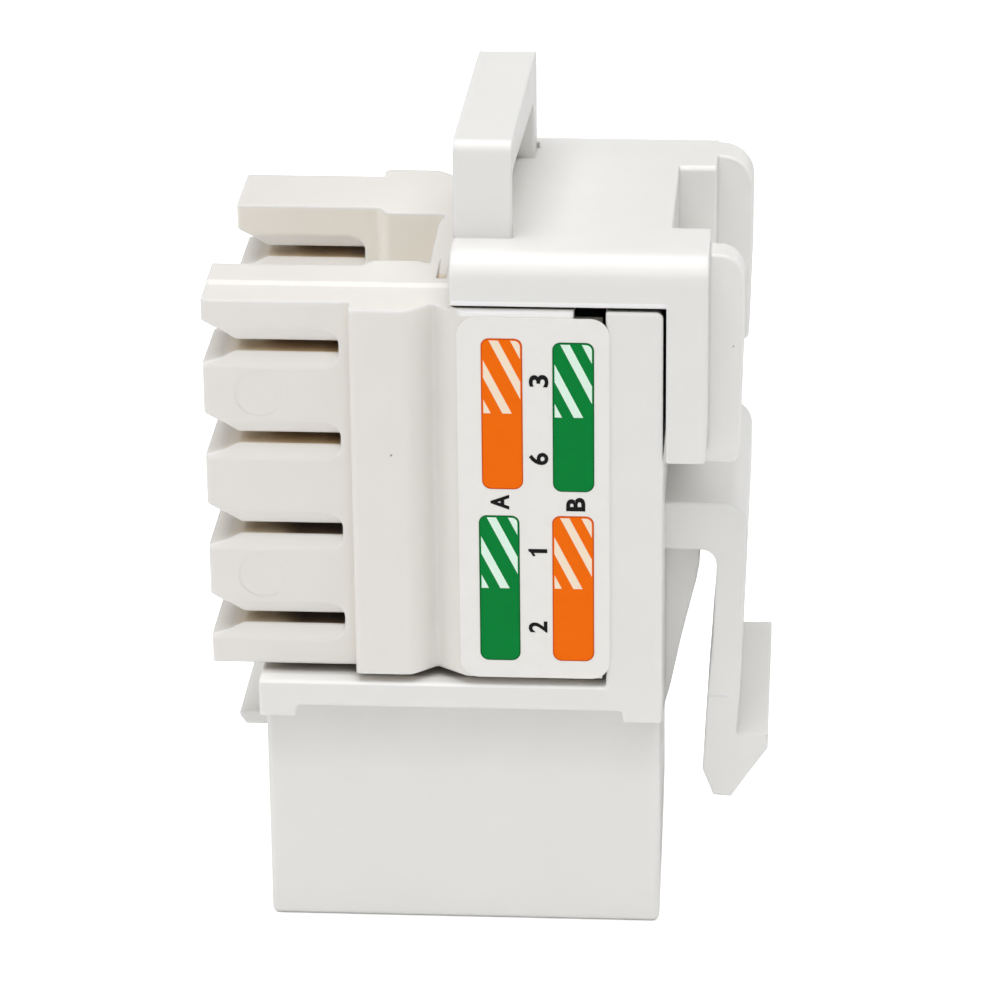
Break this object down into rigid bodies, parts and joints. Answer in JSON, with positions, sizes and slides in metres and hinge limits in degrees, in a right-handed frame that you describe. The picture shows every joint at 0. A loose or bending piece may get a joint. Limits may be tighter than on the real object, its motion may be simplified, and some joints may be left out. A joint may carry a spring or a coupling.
{
  "type": "keystone jack",
  "caption": "Right-angle modular keystone jack with a snap-in nose, flexible latch, punch-down wire towers, rear cover and colour-code labels.",
  "frame": {"origin": "centre of the nose's front face, in the mouth of the plug opening", "axes": "+Z back towards the cable end, +X towards the flexible latch, -X towards the wire towers"},
  "size_m": [0.0225, 0.0168, 0.0335],
  "materials": {
    "housing_plastic": "satin moulded white",
    "block_plastic": "satin moulded warm white",
    "carrier_plastic": "moulded, plain",
    "board": "solder mask",
    "blade_metal": "tin plated",
    "wire_gold": "gold plated",
    "label": "printed film"
  },
  "bodies": {
    "jack": {"front_housing": "housing_plastic", "rear_cover": "housing_plastic", "idc_block": "block_plastic", "circuit_board": "board", "contact_carrier": "carrier_plastic", "idc_contact_1": "blade_metal", "idc_contact_2": "blade_metal", "idc_contact_3": "blade_metal", "idc_contact_4": "blade_metal", "idc_contact_5": "blade_metal", "idc_contact_6": "blade_metal", "idc_contact_7": "blade_metal", "idc_contact_8": "blade_metal", "spring_contact_root_1": "wire_gold", "spring_contact_root_2": "wire_gold", "spring_contact_root_3": "wire_gold", "spring_contact_root_4": "wire_gold", "spring_contact_root_5": "wire_gold", "spring_contact_root_6": "wire_gold", "spring_contact_root_7": "wire_gold", "spring_contact_root_8": "wire_gold", "label_near": "label", "label_far": "label"},
    "latch": {"latch_arm": "housing_plastic"},
    "contacts": {"spring_contact_1": "wire_gold", "spring_contact_2": "wire_gold", "spring_contact_3": "wire_gold", "spring_contact_4": "wire_gold", "spring_contact_5": "wire_gold", "spring_contact_6": "wire_gold", "spring_contact_7": "wire_gold", "spring_contact_8": "wire_gold"}
  },
  "joints": [
    {"name": "latch_flex", "type": "hinge", "parent": "jack", "child": "latch", "pos_m": [0.01085, 0, 0.0154], "axis": [0, 1, 0], "range_deg": [0, 9.3], "stiffness_Nm_per_rad": 0.3},
    {"name": "contact_flex", "type": "hinge", "parent": "jack", "child": "contacts", "pos_m": [-0.00535, 0, 0.0022], "axis": [0, -1, 0], "range_deg": [0, 12], "stiffness_Nm_per_rad": 0.2}
  ]
}
